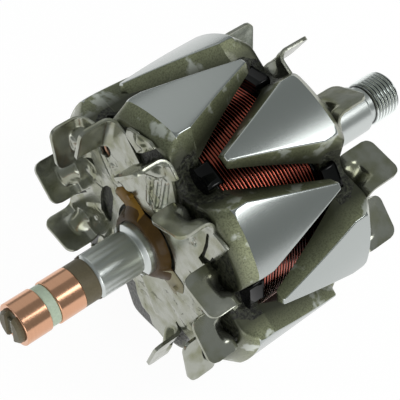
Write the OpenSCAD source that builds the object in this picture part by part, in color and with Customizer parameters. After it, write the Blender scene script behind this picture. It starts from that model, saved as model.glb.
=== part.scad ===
// Rotor of a vehicle alternator: two interleaved six-claw poles round a field coil, a stamped fan
// on each pole, and two slip rings on the tail of the shaft.
// Every module is drawn along its own Z axis, drive end up, with the pack's centre at zero.
// on_axis() then lays the rotor on its side, drive end towards +X, over the floor at Z = 0,
// turned to where it stops rolling: on one claw and the root of the next.

/* [Claw poles] */
// Diameter over the machined claw faces
rotor_d = 95; // [94:0.5:97]
// Distance from the pack's centre to a pole's outer face
pole_face_z = 26.4; // [26:0.1:27]
// Thickness of a pole's disc
pole_disc_t = 9.9; // [9:0.1:10.5]
// Width and depth of the chamfer on a claw's shoulder
shoulder = 4.4; // [4:0.1:6]
// Half angle that a claw's machined face takes up at its root
claw_root_angle = 13.6; // [13:0.1:14]
// Distance from the pack's centre to a claw's tip, past the centre
claw_tip_z = 14.5; // [14:0.1:15.5]
// Width of a claw's machined face at its tip
claw_tip_w = 1.9; // [1.6:0.1:3]
// Thickness of a claw at its tip
claw_tip_t = 3.5; // [3:0.1:4.6]
// Slope of a claw's flanks from the radius
claw_draft = 18; // [14:1:20]
// Radius of the rounded bottom of the valley between two claws
valley_round_r = 5; // [4:0.1:6]
// Turn of the rear pole's first claw from the top
rear_claw_turn = -3.5; // [-30:0.5:30]

/* [Field coil] */
// Outer radius of the winding
coil_r = 36; // [35.5:0.1:36.2]
// Depth of the winding from its outside to the bobbin
coil_depth = 10.7; // [10:0.1:12]
// Wall thickness of the bobbin
bobbin_t = 1.2; // [1:0.1:1.4]
// Width of a bobbin tab
tab_w = 8; // [7:0.5:9.5]
// Height of a bobbin tab above the valley's bottom
tab_h = 3.9; // [3.5:0.1:5]
// Length of a bobbin tab along the valley
tab_len = 4.6; // [4:0.1:8]

/* [Fans] */
// Sheet thickness of both fans
fan_t = 1.3; // [1.2:0.1:1.5]
// Height of the rear fan's blades from the pole's face
blade_h = 12.2; // [11:0.1:13]
// Height of the front fan's blades from the pole's face
front_blade_h = 14.2; // [12:0.1:15]
// Width of a blade along its bend
blade_w = 15; // [14:0.5:15.5]
// Radius from the axis to the middle of a blade
blade_mid_r = 38.2; // [37.5:0.1:38.5]
// Lean of a blade from the radius
blade_lean = 42; // [38:1:46]
// Inner radius of the bend at a blade's foot
blade_bend_r = 2.6; // [2:0.1:3]
// Radius of the free corners of a blade
blade_corner_r = 3; // [2:0.5:5]
// Width of the gusset that is pressed into a blade's bend
gusset_w = 6; // [5:0.1:7]
// Reach of a gusset past the bend, along the blade and along its tongue
gusset_reach = 2.8; // [2:0.1:3.2]
// Radius of the fans' middle ring
fan_ring_r = 26; // [25:0.5:27]
// Radius of the hole in the fans
fan_bore_r = 13.5; // [13:0.1:14]
// Radius of the hole in the rear fan that a coil lead comes through
lead_hole_r = 2.5; // [2:0.1:2.8]

/* [Shaft] */
// Diameter of the shaft inside the poles
shaft_d = 18; // [17.6:0.1:18.4]
// Diameter of the drive-end bearing seat
front_seat_d = 17; // [16.8:0.1:17.2]
// Distance from the pack's centre to the end of the drive-end bearing seat
front_seat_end_z = 65.5; // [64:0.5:67]
// Diameter of the pulley thread
thread_d = 16; // [15:0.5:16]
// Diameter of the relief groove behind the thread
relief_d = 14; // [13.5:0.1:14.5]
// Length of the relief groove
relief_len = 2.4; // [2:0.1:3]
// Distance from the pack's centre to the drive end
drive_end_z = 79; // [78:0.5:80]
// Diameter of the slip-ring-end bearing seat
rear_seat_d = 15; // [14.8:0.1:15.2]
// Distance from the pack's centre to the tail end of that seat
rear_seat_start_z = 50.5; // [50:0.1:51.5]
// Distance from the pack's centre to the collar end of that seat
rear_seat_end_z = 34; // [33.5:0.1:34.5]
// Diameter of the stop collar beside that seat
collar_d = 18; // [17.6:0.1:18.4]

/* [Slip rings] */
// Diameter of the slip rings
ring_d = 14.2; // [14:0.1:14.4]
// Wall thickness of a slip ring
ring_t = 1.6; // [1.4:0.1:1.8]
// Length of a slip ring
ring_len = 9; // [8.5:0.1:9.2]
// Gap between the slip rings
ring_gap = 3.5; // [3:0.1:4]
// Distance from the pack's centre to the inner slip ring
ring_start_z = 56; // [55.5:0.1:56.5]
// Length of the hub's end past the outer slip ring
hub_nose = 1.8; // [1.5:0.1:2]
// Width of the slot across the hub's end
hub_slot_w = 3.4; // [3:0.1:4]
// Width of a lead strip
strip_w = 2.6; // [2.2:0.1:3]
// Depth of a lead strip's groove
strip_t = 1.4; // [1.2:0.1:1.6]

/* [Hidden] */
$fn = 96;
claw_count = 6;
claw_pitch = 360 / claw_count;
rotor_r = rotor_d / 2;
fit_gap = 0.1;
coil_gap = 3.2;
slab = 0.01;
// How far a cut runs past the face that it opens
cut_over = 1;

// Poles
disc_inner_z = pole_face_z - pole_disc_t;
shoulder_z = pole_face_z - shoulder;
claw_root_half_w = rotor_r * sin(claw_root_angle);
claw_root_edge_r = rotor_r * cos(claw_root_angle);
claw_foot_r = coil_r + coil_gap;
flank_slope = tan(claw_draft);
valley_angle = claw_pitch / 2 + claw_draft;
// Where a circle of valley_round_r touches the flanks of the claws on both sides
valley_mid_r = (claw_root_half_w + claw_root_edge_r * flank_slope + valley_round_r / cos(claw_draft))
    / (sin(claw_pitch / 2) + flank_slope * cos(claw_pitch / 2));
valley_floor_r = valley_mid_r - valley_round_r;
front_claw_turn = rear_claw_turn + claw_pitch / 2;

// Coil and bobbin
bobbin_half_len = disc_inner_z - fit_gap;
coil_half_len = bobbin_half_len - bobbin_t;
coil_in_r = coil_r - coil_depth;
bobbin_in_r = coil_in_r - bobbin_t;
core_r = bobbin_in_r - fit_gap;
tab_root_inset = 0.2;

// Fans: the blades are unevenly spaced, so that they hum less
rear_blade_turns = [-118, -86, -51, -26, 7, 36, 71, 99, 126, 159, 214];
front_blade_turns = [-148, -115, -78, -44, -8, 28, 62, 97, 126, 156, 186];
// Sheet that each face of a blade loses when it is drawn and bent
blade_thinning = 0.05;
blade_t = fan_t - 2 * blade_thinning;
bend_v = blade_t / 2 + blade_bend_r;
bend_z = fan_t - blade_thinning + blade_bend_r;
blade_foot = 2;
tongue_side = 5;
tongue_root = 14;
tongue_step = 6;
notch_gap = 0.8;
// The line of a gusset's outer face in the blade's section: v + z is the same all along it
gusset_sum = bend_v + bend_z - blade_bend_r + gusset_reach;
lead_hole_mid_r = 32.8;
lead_hole_turn = -32;

// Shaft
shaft_r = shaft_d / 2;
front_seat_r = front_seat_d / 2;
rear_seat_r = rear_seat_d / 2;
thread_start_z = front_seat_end_z + relief_len;
collar_len = 2.4;
chamfer = 0.8;
tail_r = ring_d / 2 - ring_t - 1.2;
fan_face_z = pole_face_z + fan_t;

// Slip rings
ring_r = ring_d / 2;
ring_in_r = ring_r - ring_t;
outer_ring_z = ring_start_z + ring_len + ring_gap;
ring_end_z = outer_ring_z + ring_len;
tail_end_z = ring_end_z + hub_nose;
spacer_r = ring_r - 0.5;
tail_inset = 6;
shaft_tail_z = ring_end_z - tail_inset;
strip_floor_r = rear_seat_r - strip_t;
strip_sink = 0.3;
strip_turns = [-48, 132];

// Lead insulator
insulator_r = 12.4;
insulator_z = rear_seat_end_z - collar_len - 0.6;
arm_turns = [-20, 120];
arm_w = 7;
arm_end_r = 21;
foot_spread = 0.6;
arm_t = 1.6;
lead_r = 0.8;
lead_inset = 4;
lead_out_r = arm_end_r - lead_inset;

x_mid = (tail_end_z - drive_end_z) / 2;
rest_turn = -5.6;

// Lays the rotor on its side: local Z goes to +X, and local X up but for the turn that it rests at
module on_axis() translate([x_mid, 0, rotor_r]) rotate([0, 90, 0]) rotate(180 + rest_turn) children();

// Puts children drawn for the drive end at the slip-ring end instead
module at_rear() mirror([0, 0, 1]) children();

// Round valley between two claw roots, as seen along the axis, with sides along the claws' flanks
module valley_outline(inset = 0) translate([valley_mid_r, 0]) {
    round_r = valley_round_r - inset;
    touch = round_r * [-sin(valley_angle), cos(valley_angle)];
    far = touch + rotor_r * [cos(valley_angle), sin(valley_angle)];
    circle(round_r);
    polygon([touch, far, [far.x, -far.y], [touch.x, -touch.y]]);
}

// Thin slice of a claw at the distance x from the axis, wider the deeper it lies
module claw_slice(x) {
    root = claw_root_half_w + (claw_root_edge_r - x) * flank_slope;
    tip = claw_tip_w / 2 + (rotor_r - x) * flank_slope;
    translate([x, 0, 0]) rotate([90, 0, 90]) linear_extrude(slab) polygon([
        [-root, shoulder_z], [-root, disc_inner_z], [-tip, -claw_tip_z],
        [tip, -claw_tip_z], [root, disc_inner_z], [root, shoulder_z]
    ]);
}

// One claw, from its shoulder to its tip
module claw() intersection() {
    rotate_extrude() polygon([
        [rotor_r, shoulder_z], [claw_foot_r, shoulder_z], [claw_foot_r, disc_inner_z],
        [rotor_r - claw_tip_t, -claw_tip_z], [rotor_r, -claw_tip_z]
    ]);
    hull() {
        claw_slice(rotor_r);
        claw_slice(claw_foot_r * cos(claw_pitch / 2));
    }
}

// Forged pole with its half of the core, drawn for the drive end
module claw_pole() difference() {
    union() {
        difference() {
            rotate_extrude() polygon([
                [0, 0], [core_r, 0], [core_r, disc_inner_z], [rotor_r, disc_inner_z], [rotor_r, shoulder_z],
                [rotor_r - shoulder, pole_face_z], [0, pole_face_z]
            ]);
            for (i = [0 : claw_count - 1])
                rotate(claw_pitch * (i + 0.5)) translate([0, 0, disc_inner_z - cut_over])
                    linear_extrude(pole_disc_t + 2 * cut_over) valley_outline();
        }
        for (i = [0 : claw_count - 1]) rotate(claw_pitch * i) claw();
    }
    translate([0, 0, -cut_over]) cylinder(r = shaft_r, h = pole_face_z + 2 * cut_over);
}

module front_claw_pole() color("#8d9090") on_axis() rotate(front_claw_turn) claw_pole();

module rear_claw_pole() color("#8d9090") on_axis() rotate(rear_claw_turn) at_rear() claw_pole();

module field_coil() color("#8a3a2a") on_axis() rotate_extrude() polygon([
    [coil_in_r, -coil_half_len], [coil_r, -coil_half_len], [coil_r, coil_half_len], [coil_in_r, coil_half_len]
]);

// Bobbin tab that lies in a valley of the front pole, with its root in the bobbin's cheek
module bobbin_tab() translate([0, 0, coil_half_len]) {
    root_w = tab_w - 2 * tab_root_inset;
    root_t = bobbin_t - 2 * tab_root_inset;
    translate([coil_in_r + tab_root_inset, -root_w / 2, tab_root_inset])
        cube([valley_floor_r + tab_h / 2 - coil_in_r, root_w, root_t]);
    linear_extrude(bobbin_t + tab_len) intersection() {
        valley_outline(fit_gap);
        translate([valley_floor_r, -tab_w / 2]) square([tab_h, tab_w]);
    }
}

module coil_bobbin() color("#15171a") on_axis() {
    rotate_extrude() polygon([
        [bobbin_in_r, -bobbin_half_len], [coil_r, -bobbin_half_len], [coil_r, -coil_half_len],
        [coil_in_r, -coil_half_len], [coil_in_r, coil_half_len], [coil_r, coil_half_len],
        [coil_r, bobbin_half_len], [bobbin_in_r, bobbin_half_len]
    ]);
    for (i = [0 : claw_count - 1]) {
        rotate(rear_claw_turn + claw_pitch * i) bobbin_tab();
        rotate(front_claw_turn + claw_pitch * i) at_rear() bobbin_tab();
    }
}

// Blade with rounded free corners, seen square on
module blade_outline(height) {
    translate([-blade_w / 2, 0]) square([blade_w, height - blade_corner_r]);
    translate([blade_corner_r - blade_w / 2, 0]) square([blade_w - 2 * blade_corner_r, height]);
    for (side = [-1, 1])
        translate([side * (blade_w / 2 - blade_corner_r), height - blade_corner_r]) circle(blade_corner_r);
}

// Section across a blade: the upright sheet, its bend and the start of the tongue
module blade_section(height) {
    translate([-blade_t / 2, bend_z]) square([blade_t, height - bend_z]);
    translate([bend_v, bend_z]) intersection() {
        difference() {
            circle(blade_bend_r + blade_t);
            circle(blade_bend_r);
        }
        translate([-bend_z, -bend_z]) square(bend_z);
    }
    translate([bend_v, blade_thinning]) square([blade_foot, blade_t]);
}

// Prism of a given width along a blade's bend, from its section
module along_bend(width) translate([blade_mid_r, 0, 0]) rotate(blade_lean)
    translate([-width / 2, 0, 0]) rotate([90, 0, 90]) linear_extrude(width) children();

// Blade and bend, standing on the plane of the pole's face
module blade(height) intersection() {
    along_bend(blade_w) blade_section(height);
    translate([blade_mid_r, 0, 0]) rotate(blade_lean) translate([0, blade_w, 0]) rotate([90, 0, 0])
        linear_extrude(2 * blade_w) blade_outline(height);
}

// Gusset that fills the inside of a blade's bend up to a slope, backed by the middle of the sheet
module gusset() {
    mid_z = fan_t / 2;
    mid_bend_r = blade_bend_r + blade_t / 2;
    along_bend(gusset_w) polygon([
        [gusset_sum - mid_z, mid_z], [bend_v, mid_z],
        [bend_v, bend_z] - mid_bend_r * [sin(45), cos(45)],
        [0, bend_z], [0, gusset_sum]
    ]);
}

// Dent behind a gusset, which leaves the thickness of the sheet
module gusset_dent() {
    back_sum = gusset_sum - blade_t * sqrt(2);
    along_bend(gusset_w - 2 * blade_t)
        polygon([[back_sum + cut_over, -cut_over], [-blade_t, back_sum + blade_t], [-blade_t, -cut_over]]);
}

// Notch that the blade's own sheet leaves in the fan when it is bent up
module notch_outline() translate([blade_mid_r, 0]) rotate(blade_lean)
    translate([-blade_w / 2 - notch_gap, -rotor_r]) square([2 * rotor_r, rotor_r + bend_v + blade_foot / 2]);

// Flat tongue of sheet from the middle ring to a blade's bend
module tongue_outline() translate([blade_mid_r, 0]) rotate(blade_lean) {
    centre = blade_mid_r * [-cos(blade_lean), sin(blade_lean)];
    start = bend_v + blade_foot / 2;
    polygon([
        [-blade_w / 2, start], [blade_w / 2, start], [blade_w / 2, bend_v + tongue_side],
        centre + [tongue_step, tongue_root], centre - [0, tongue_root]
    ]);
}

// Fan for the drive end, lying on the plane Z = 0
module fan(turns, height) difference() {
    union() {
        linear_extrude(fan_t) difference() {
            union() {
                circle(fan_ring_r);
                for (turn = turns) rotate(turn) tongue_outline();
            }
            circle(fan_bore_r);
            for (turn = turns) rotate(turn) notch_outline();
        }
        for (turn = turns) rotate(turn) {
            blade(height);
            gusset();
        }
    }
    for (turn = turns) rotate(turn) gusset_dent();
}

module front_fan() color("#c9ccc4") on_axis() translate([0, 0, pole_face_z]) fan(front_blade_turns, front_blade_h);

// The rear fan is turned over, so its blades lean the same way when seen from the tail
module rear_fan() color("#c9ccc4") on_axis() translate([0, 0, -pole_face_z]) at_rear() difference() {
    fan(rear_blade_turns, blade_h);
    rotate(lead_hole_turn) translate([lead_hole_mid_r, 0, -cut_over])
        cylinder(r = lead_hole_r, h = fan_t + 2 * cut_over);
}

// Grooves along the tail for the lead strips
module strip_grooves() for (turn = strip_turns)
    rotate(turn) translate([strip_floor_r, -strip_w / 2, -ring_start_z])
        cube([collar_d, strip_w, ring_start_z - rear_seat_end_z + collar_len]);

module shaft() color("#b9bdbf") on_axis() difference() {
    rotate_extrude() polygon([
        [0, -shaft_tail_z], [tail_r, -shaft_tail_z], [tail_r, -rear_seat_start_z],
        [rear_seat_r - chamfer, -rear_seat_start_z], [rear_seat_r, -rear_seat_start_z + chamfer],
        [rear_seat_r, -rear_seat_end_z], [collar_d / 2, -rear_seat_end_z + chamfer],
        [collar_d / 2, -rear_seat_end_z + collar_len], [shaft_r, -rear_seat_end_z + collar_len],
        [shaft_r, fan_face_z], [front_seat_r, fan_face_z], [front_seat_r, front_seat_end_z - chamfer],
        [relief_d / 2 + chamfer, front_seat_end_z], [relief_d / 2, front_seat_end_z],
        [relief_d / 2, thread_start_z], [thread_d / 2, thread_start_z + chamfer],
        [thread_d / 2, drive_end_z - chamfer], [thread_d / 2 - chamfer, drive_end_z], [0, drive_end_z]
    ]);
    strip_grooves();
}

// Foot of the resin on the rear fan, with a radial arm over each coil lead
module insulator_foot() translate([0, 0, -fan_face_z - arm_t]) linear_extrude(arm_t) {
    circle(insulator_r + foot_spread);
    for (turn = arm_turns) rotate(turn)
        translate([insulator_r, -arm_w / 2]) square([arm_end_r - insulator_r, arm_w]);
}

module lead_insulator() color("#4a3524") on_axis() difference() {
    union() {
        insulator_foot();
        rotate_extrude() polygon([
            [0, -fan_face_z - arm_t / 2], [0, -insulator_z], [insulator_r - chamfer, -insulator_z],
            [insulator_r, -insulator_z + chamfer], [insulator_r, -fan_face_z - arm_t / 2]
        ]);
    }
    translate([0, 0, -insulator_z - cut_over]) cylinder(r = shaft_r, h = insulator_z);
    for (turn = arm_turns) rotate(turn) coil_lead();
}

// Lead that comes up through the rear fan into an arm of the insulator
module coil_lead() translate([lead_out_r, 0, -fan_face_z - arm_t]) cylinder(r = lead_r, h = arm_t);

module coil_lead_upper() color("#8a3a2a") on_axis() rotate(arm_turns[0]) coil_lead();

module coil_lead_lower() color("#8a3a2a") on_axis() rotate(arm_turns[1]) coil_lead();

// Insulated flat strip in a groove of the bearing seat, a little below the ground surface
module lead_strip() translate([strip_floor_r, -strip_w / 2, -rear_seat_start_z])
    cube([strip_t - strip_sink, strip_w, rear_seat_start_z - rear_seat_end_z + collar_len]);

module lead_strip_upper() color("#4a3524") on_axis() rotate(strip_turns[0]) lead_strip();

module lead_strip_lower() color("#4a3524") on_axis() rotate(strip_turns[1]) lead_strip();

module slip_ring_hub() color("#5a5546") on_axis() difference() {
    rotate_extrude() polygon([
        [0, -tail_end_z], [ring_in_r - chamfer, -tail_end_z], [ring_in_r, -tail_end_z + chamfer],
        [ring_in_r, -ring_start_z], [ring_r - fit_gap, -ring_start_z], [ring_r - fit_gap, -rear_seat_start_z],
        [tail_r, -rear_seat_start_z], [tail_r, -shaft_tail_z], [0, -shaft_tail_z]
    ]);
    translate([-ring_r, -hub_slot_w / 2, -tail_end_z - cut_over]) cube([ring_d, hub_slot_w, hub_nose + cut_over]);
}

// Slip ring whose inner end is at a distance z from the pack's centre
module slip_ring(z) translate([0, 0, -z - ring_len]) difference() {
    cylinder(r = ring_r, h = ring_len);
    translate([0, 0, -cut_over]) cylinder(r = ring_in_r, h = ring_len + 2 * cut_over);
}

module slip_ring_inner() color("#c98a6a") on_axis() slip_ring(ring_start_z);

module slip_ring_outer() color("#c98a6a") on_axis() slip_ring(outer_ring_z);

module ring_spacer() color("#b9c8b4") on_axis() translate([0, 0, -outer_ring_z]) difference() {
    cylinder(r = spacer_r, h = ring_gap);
    translate([0, 0, -cut_over]) cylinder(r = ring_in_r, h = ring_gap + 2 * cut_over);
}

module end_terminal() color("#c9ccc4") on_axis()
    translate([-ring_in_r / 2, -hub_slot_w / 2, -ring_end_z - hub_nose / 2])
        cube([ring_in_r, hub_slot_w, hub_nose / 2]);

shaft();
rear_claw_pole();
front_claw_pole();
field_coil();
coil_bobbin();
rear_fan();
front_fan();
lead_insulator();
coil_lead_upper();
coil_lead_lower();
lead_strip_upper();
lead_strip_lower();
slip_ring_hub();
slip_ring_inner();
slip_ring_outer();
ring_spacer();
end_terminal();
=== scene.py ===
"""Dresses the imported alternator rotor: forged claws, winding, stamped fans, shaft, slip rings and stage."""
import math
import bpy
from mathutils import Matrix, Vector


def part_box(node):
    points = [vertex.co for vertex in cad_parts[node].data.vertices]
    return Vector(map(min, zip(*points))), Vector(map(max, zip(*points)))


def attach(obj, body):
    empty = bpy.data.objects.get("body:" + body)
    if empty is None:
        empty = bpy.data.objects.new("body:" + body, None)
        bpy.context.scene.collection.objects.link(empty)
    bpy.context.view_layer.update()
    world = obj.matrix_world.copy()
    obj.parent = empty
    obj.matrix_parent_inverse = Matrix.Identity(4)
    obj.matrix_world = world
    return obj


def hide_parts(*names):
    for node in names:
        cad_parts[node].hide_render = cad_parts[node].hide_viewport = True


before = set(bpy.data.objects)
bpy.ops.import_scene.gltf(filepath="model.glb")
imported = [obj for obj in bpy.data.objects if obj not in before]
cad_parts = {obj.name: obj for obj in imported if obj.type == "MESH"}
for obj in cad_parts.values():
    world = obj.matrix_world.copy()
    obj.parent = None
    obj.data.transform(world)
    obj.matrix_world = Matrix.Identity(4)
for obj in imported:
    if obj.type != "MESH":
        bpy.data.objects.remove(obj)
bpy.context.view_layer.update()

from types import SimpleNamespace

import bmesh
import bpy
import numpy as np
from mathutils import Matrix, Vector, geometry

bl_info = {
    "name": "Alternator rotor",
    "version": (1, 0, 0),
    "blender": (4, 5, 0),
    "location": "3D View > Sidebar > Rotor",
    "description": "Builds the looks of a claw-pole alternator rotor around its solid model",
    "category": "Object",
}

MM = 0.001

# The rotor's axis lies along X. Its height, its middle and its turn on the floor come from the solids.
RING_LOW, RING_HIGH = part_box("slip_ring_outer")
AXIS_Z = (RING_LOW.z + RING_HIGH.z) / 2
PACK_X = (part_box("rear_claw_pole")[0].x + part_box("front_claw_pole")[1].x) / 2
STRIP_MIDDLE = sum(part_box("lead_strip_upper"), Vector()) / 2
STRIP_TURN = -48.0
REST_TURN = math.degrees(math.atan2(-STRIP_MIDDLE.y, STRIP_MIDDLE.z - AXIS_Z)) - STRIP_TURN

CLAW_COUNT = 6
CLAW_PITCH = 360 / CLAW_COUNT


# Settings that a user would change

def length(name, description, millimetres):
    return bpy.props.FloatProperty(
        name=name, description=description, default=millimetres * MM, unit="LENGTH")


def turn(name, description, degrees):
    return bpy.props.FloatProperty(
        name=name, description=description, default=math.radians(degrees), subtype="ANGLE")


def power(name, description, watts):
    return bpy.props.FloatProperty(name=name, description=description, default=watts, unit="POWER")


def colour(name, description, code):
    return bpy.props.StringProperty(name=name, description=description, default=code)


class PoleSizes(bpy.types.PropertyGroup):
    """Sizes of the two claw poles"""
    rotor_d: length("Claw diameter", "Diameter over the machined claw faces", 95)
    face_z: length("Pole face", "From the pack's centre to a pole's outer face", 26.4)
    disc_t: length("Disc thickness", "Thickness of a pole's disc", 9.9)
    shoulder: length("Shoulder", "Width and depth of the slope on a claw's shoulder", 4.4)
    root_turn: turn("Root half angle", "Half angle of a claw's machined face at its root", 13.6)
    tip_z: length("Tip reach", "From the pack's centre to a claw's tip", 14.5)
    tip_w: length("Tip width", "Width of a claw's machined face at its tip", 1.9)
    tip_t: length("Tip thickness", "Thickness of a claw at its tip", 3.5)
    draft: turn("Flank draft", "Slope of a claw's flanks from the radius", 18)
    valley_r: length("Valley radius", "Radius of the rounded valley between two claws", 5)
    core_r: length("Core radius", "Radius of the iron core under the coil", 24)
    bore_r: length("Bore radius", "Radius of the bore for the shaft", 9)
    foot_r: length("Claw foot radius", "Radius of a claw's inner face at its root", 39.2)
    forge_r: length("Forged corner", "Radius of the forged corners of a claw's shoulder", 2.4)
    rear_turn: turn("Rear claw turn", "Turn of the rear pole's first claw", -3.5)


class CoilSizes(bpy.types.PropertyGroup):
    """Sizes of the winding and its bobbin"""
    outer_r: length("Coil radius", "Outer radius of the winding", 36)
    inner_r: length("Coil inner radius", "Inner radius of the winding", 25.3)
    half_len: length("Coil half length", "Half of the winding's length", 15.2)
    wire_pitch: length("Wire pitch", "Distance between turns of the winding", 1.13)
    bobbin_t: length("Bobbin wall", "Wall thickness of the bobbin", 1.2)
    tab_w: length("Tab width", "Width of a bobbin tab", 7.8)
    tab_h: length("Tab height", "Height of a bobbin tab above the valley", 3.9)
    tab_len: length("Tab length", "Length of a bobbin tab along the valley", 4.6)


class FanSizes(bpy.types.PropertyGroup):
    """Sizes of the stamped fans"""
    sheet_t: length("Sheet", "Thickness of the sheet", 1.2)
    rear_h: length("Rear blade height", "Height of the rear fan's blades from the pole's face", 12.2)
    front_h: length("Front blade height", "Height of the front fan's blades from the pole's face", 14.2)
    blade_w: length("Blade width", "Width of a blade along its bend", 15)
    mid_r: length("Blade radius", "Radius from the axis to the middle of a blade", 38.2)
    lean: turn("Blade lean", "Lean of a blade from the radius", 42)
    bend_r: length("Bend radius", "Inner radius of the bend at a blade's foot", 2.6)
    corner_r: length("Corner radius", "Radius of a blade's free corners", 3)
    ring_r: length("Ring radius", "Radius of the fan's middle ring", 26)
    bore_r: length("Fan bore", "Radius of the hole in the fan", 13.5)
    gusset_w: length("Gusset width", "Width of the dent that stiffens a blade's bend", 6)
    gusset_reach: length("Gusset reach", "Reach of the dent past the bend", 2.8)


class ShaftSizes(bpy.types.PropertyGroup):
    """Sizes of the shaft, from the pack's centre"""
    thread_pitch: length("Thread pitch", "Pitch of the pulley thread", 1.5)
    thread_depth: length("Thread depth", "Depth of the pulley thread", 0.92)
    groove_t: length("Groove depth", "Depth of the grooves for the lead strips", 1.4)


class RotorColours(bpy.types.PropertyGroup):
    """Colours of the finishes, as sRGB codes"""
    turned_steel: colour("Turned steel", "Machined claw faces", "#B4B9B7")
    forged_steel: colour("Forged steel", "Flanks of the claws", "#989D7C")
    varnish: colour("Varnished forging", "Valleys and pole faces", "#16170F")
    ground_steel: colour("Ground steel", "Shaft", "#CDD2D0")
    fan_sheet: colour("Fan sheet", "Zinc-plated sheet", "#A9ABA1")
    wire: colour("Wire enamel", "Winding", "#A84E3A")
    moulding: colour("Bobbin moulding", "Black nylon", "#050607")
    resin: colour("Resin", "Cast resin over the leads", "#4E3A1C")
    amber: colour("Thin resin", "Drop of thin resin over a lead", "#866528")
    stain: colour("Resin stain", "Film of resin on the fan", "#A39C80")
    copper: colour("Ring copper", "Slip rings", "#DDAA8A")
    hub: colour("Hub moulding", "Phenolic moulding under the rings", "#746B54")
    spacer: colour("Spacer moulding", "Pale green moulding between the rings", "#CFE0C8")
    terminal: colour("Terminal tin", "Tinned terminal in the hub's end", "#B9BBB4")


class StageSettings(bpy.types.PropertyGroup):
    """Camera and light"""
    azimuth: turn("Azimuth", "Camera's azimuth about the rotor", -41.4)
    elevation: turn("Elevation", "Camera's height about the rotor", 45.6)
    distance: length("Distance", "From the camera to the point it looks at", 407)
    focal: bpy.props.FloatProperty(
        name="Focal length", description="Lens in mm", default=115.2, unit="CAMERA")
    key: power("Front softbox", "Power of the softbox in front", 0.95)
    bulb: power("Bulb", "Power of the hot middle of the front softbox", 0.25)
    fill: power("Back softbox", "Power of the softbox behind", 0.7)
    card: power("Side card", "Power of the low white card on the left", 1.9)
    sky: bpy.props.FloatProperty(
        name="Room", description="Strength of the light from the room", default=0.28)
    lamp_distance: length("Lamp distance", "From the rotor to the softboxes", 800)


class RotorSettings(bpy.types.PropertyGroup):
    """All settings of the rotor"""
    poles: bpy.props.PointerProperty(type=PoleSizes)
    coil: bpy.props.PointerProperty(type=CoilSizes)
    fans: bpy.props.PointerProperty(type=FanSizes)
    shaft: bpy.props.PointerProperty(type=ShaftSizes)
    colours: bpy.props.PointerProperty(type=RotorColours)
    stage: bpy.props.PointerProperty(type=StageSettings)


def in_mm(group):
    """A group's lengths in millimetres and its other values as they are."""
    values = {}
    for key in group.__annotations__:
        value = getattr(group, key)
        is_length = group.bl_rna.properties[key].unit == "LENGTH"
        values[key] = value / MM if is_length else value
    return SimpleNamespace(**values)


# Rotor coordinates in mm: X up at turn 0, Y at turn 90, Z along the axis to the drive end

def to_world(points):
    points = np.asarray(points, float).reshape(-1, 3)
    c = math.cos(math.radians(REST_TURN))
    s = math.sin(math.radians(REST_TURN))
    up = points[:, 0] * c - points[:, 1] * s
    side = points[:, 0] * s + points[:, 1] * c
    return np.stack([points[:, 2] * MM + PACK_X, -side * MM, up * MM + AXIS_Z], axis=1)


def polar(radius, degrees, z):
    radius, degrees, z = np.broadcast_arrays(radius, degrees, z)
    angle = np.radians(degrees)
    return np.stack([radius * np.cos(angle), radius * np.sin(angle), z], axis=-1)


def turned(points, degrees):
    angle = math.radians(degrees)
    c = math.cos(angle)
    s = math.sin(angle)
    points = np.asarray(points, float)
    x = points[..., 0] * c - points[..., 1] * s
    y = points[..., 0] * s + points[..., 1] * c
    return np.stack([x, y, points[..., 2]], axis=-1)


def smoothstep(x):
    x = np.clip(x, 0, 1)
    return x * x * (3 - 2 * x)


class Skin:
    """Points, faces and finishes of one piece, gathered patch by patch"""

    def __init__(self):
        self.points = []
        self.faces = []
        self.finishes = []
        self.count = 0

    def add(self, points, faces, finishes=0):
        points = np.asarray(points, float).reshape(-1, 3)
        self.points.append(points)
        self.faces += [tuple(i + self.count for i in face) for face in faces]
        self.finishes += [finishes] * len(faces) if isinstance(finishes, int) else list(finishes)
        self.count += len(points)

    def grid(self, points, closed=False, finishes=0, holes=()):
        """A patch from rows of points, open over the holes. closed joins each row into a loop."""
        rows, columns = points.shape[:2]
        faces = []
        for i in range(rows - 1):
            low = i * columns
            high = low + columns
            for j in range(columns if closed else columns - 1):
                k = (j + 1) % columns
                faces.append((low + j, low + k, high + k, high + j))
        flat = points.reshape(-1, 3)[:, :2]
        for hole in holes:
            middles = flat[np.array(faces)].mean(axis=1)
            faces = [face for face, inside in zip(faces, in_polygon(middles, hole)) if not inside]
        self.add(points, faces, finishes)

    def tube(self, rows, finishes=0, end_finish=0):
        """A closed skin through closed loops, with a flat face over each end."""
        rows = np.asarray(rows)
        start = self.count
        self.grid(rows, closed=True, finishes=finishes)
        columns = rows.shape[1]
        first = tuple(start + j for j in range(columns))
        last = tuple(start + (len(rows) - 1) * columns + j for j in range(columns))
        self.faces += [first[::-1], last]
        self.finishes += [end_finish, end_finish]

    def mirrored(self):
        """The same skin at the other end of the pack."""
        for points in self.points:
            points[:, 2] *= -1
        self.faces = [face[::-1] for face in self.faces]
        return self

    def piece(self, name, materials, slot, nodes=(), crease=35, merge=0.002):
        """The object that the skin makes. It rides on the rotor and stands for the solids named."""
        mesh = bpy.data.meshes.new(name)
        mesh.from_pydata(to_world(np.concatenate(self.points)), [], self.faces)
        for material in materials:
            mesh.materials.append(material)
        mesh.polygons.foreach_set("material_index", self.finishes)
        work = bmesh.new()
        work.from_mesh(mesh)
        bmesh.ops.remove_doubles(work, verts=work.verts, dist=merge * MM)
        bmesh.ops.recalc_face_normals(work, faces=work.faces)
        work.to_mesh(mesh)
        work.free()
        mesh.polygons.foreach_set("use_smooth", [True] * len(mesh.polygons))
        mesh.set_sharp_from_angle(angle=math.radians(crease))
        item = bpy.data.objects.new(name, mesh)
        bpy.context.scene.collection.objects.link(item)
        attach(item, "root")
        if nodes:
            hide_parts(*nodes)
        return item


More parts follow.
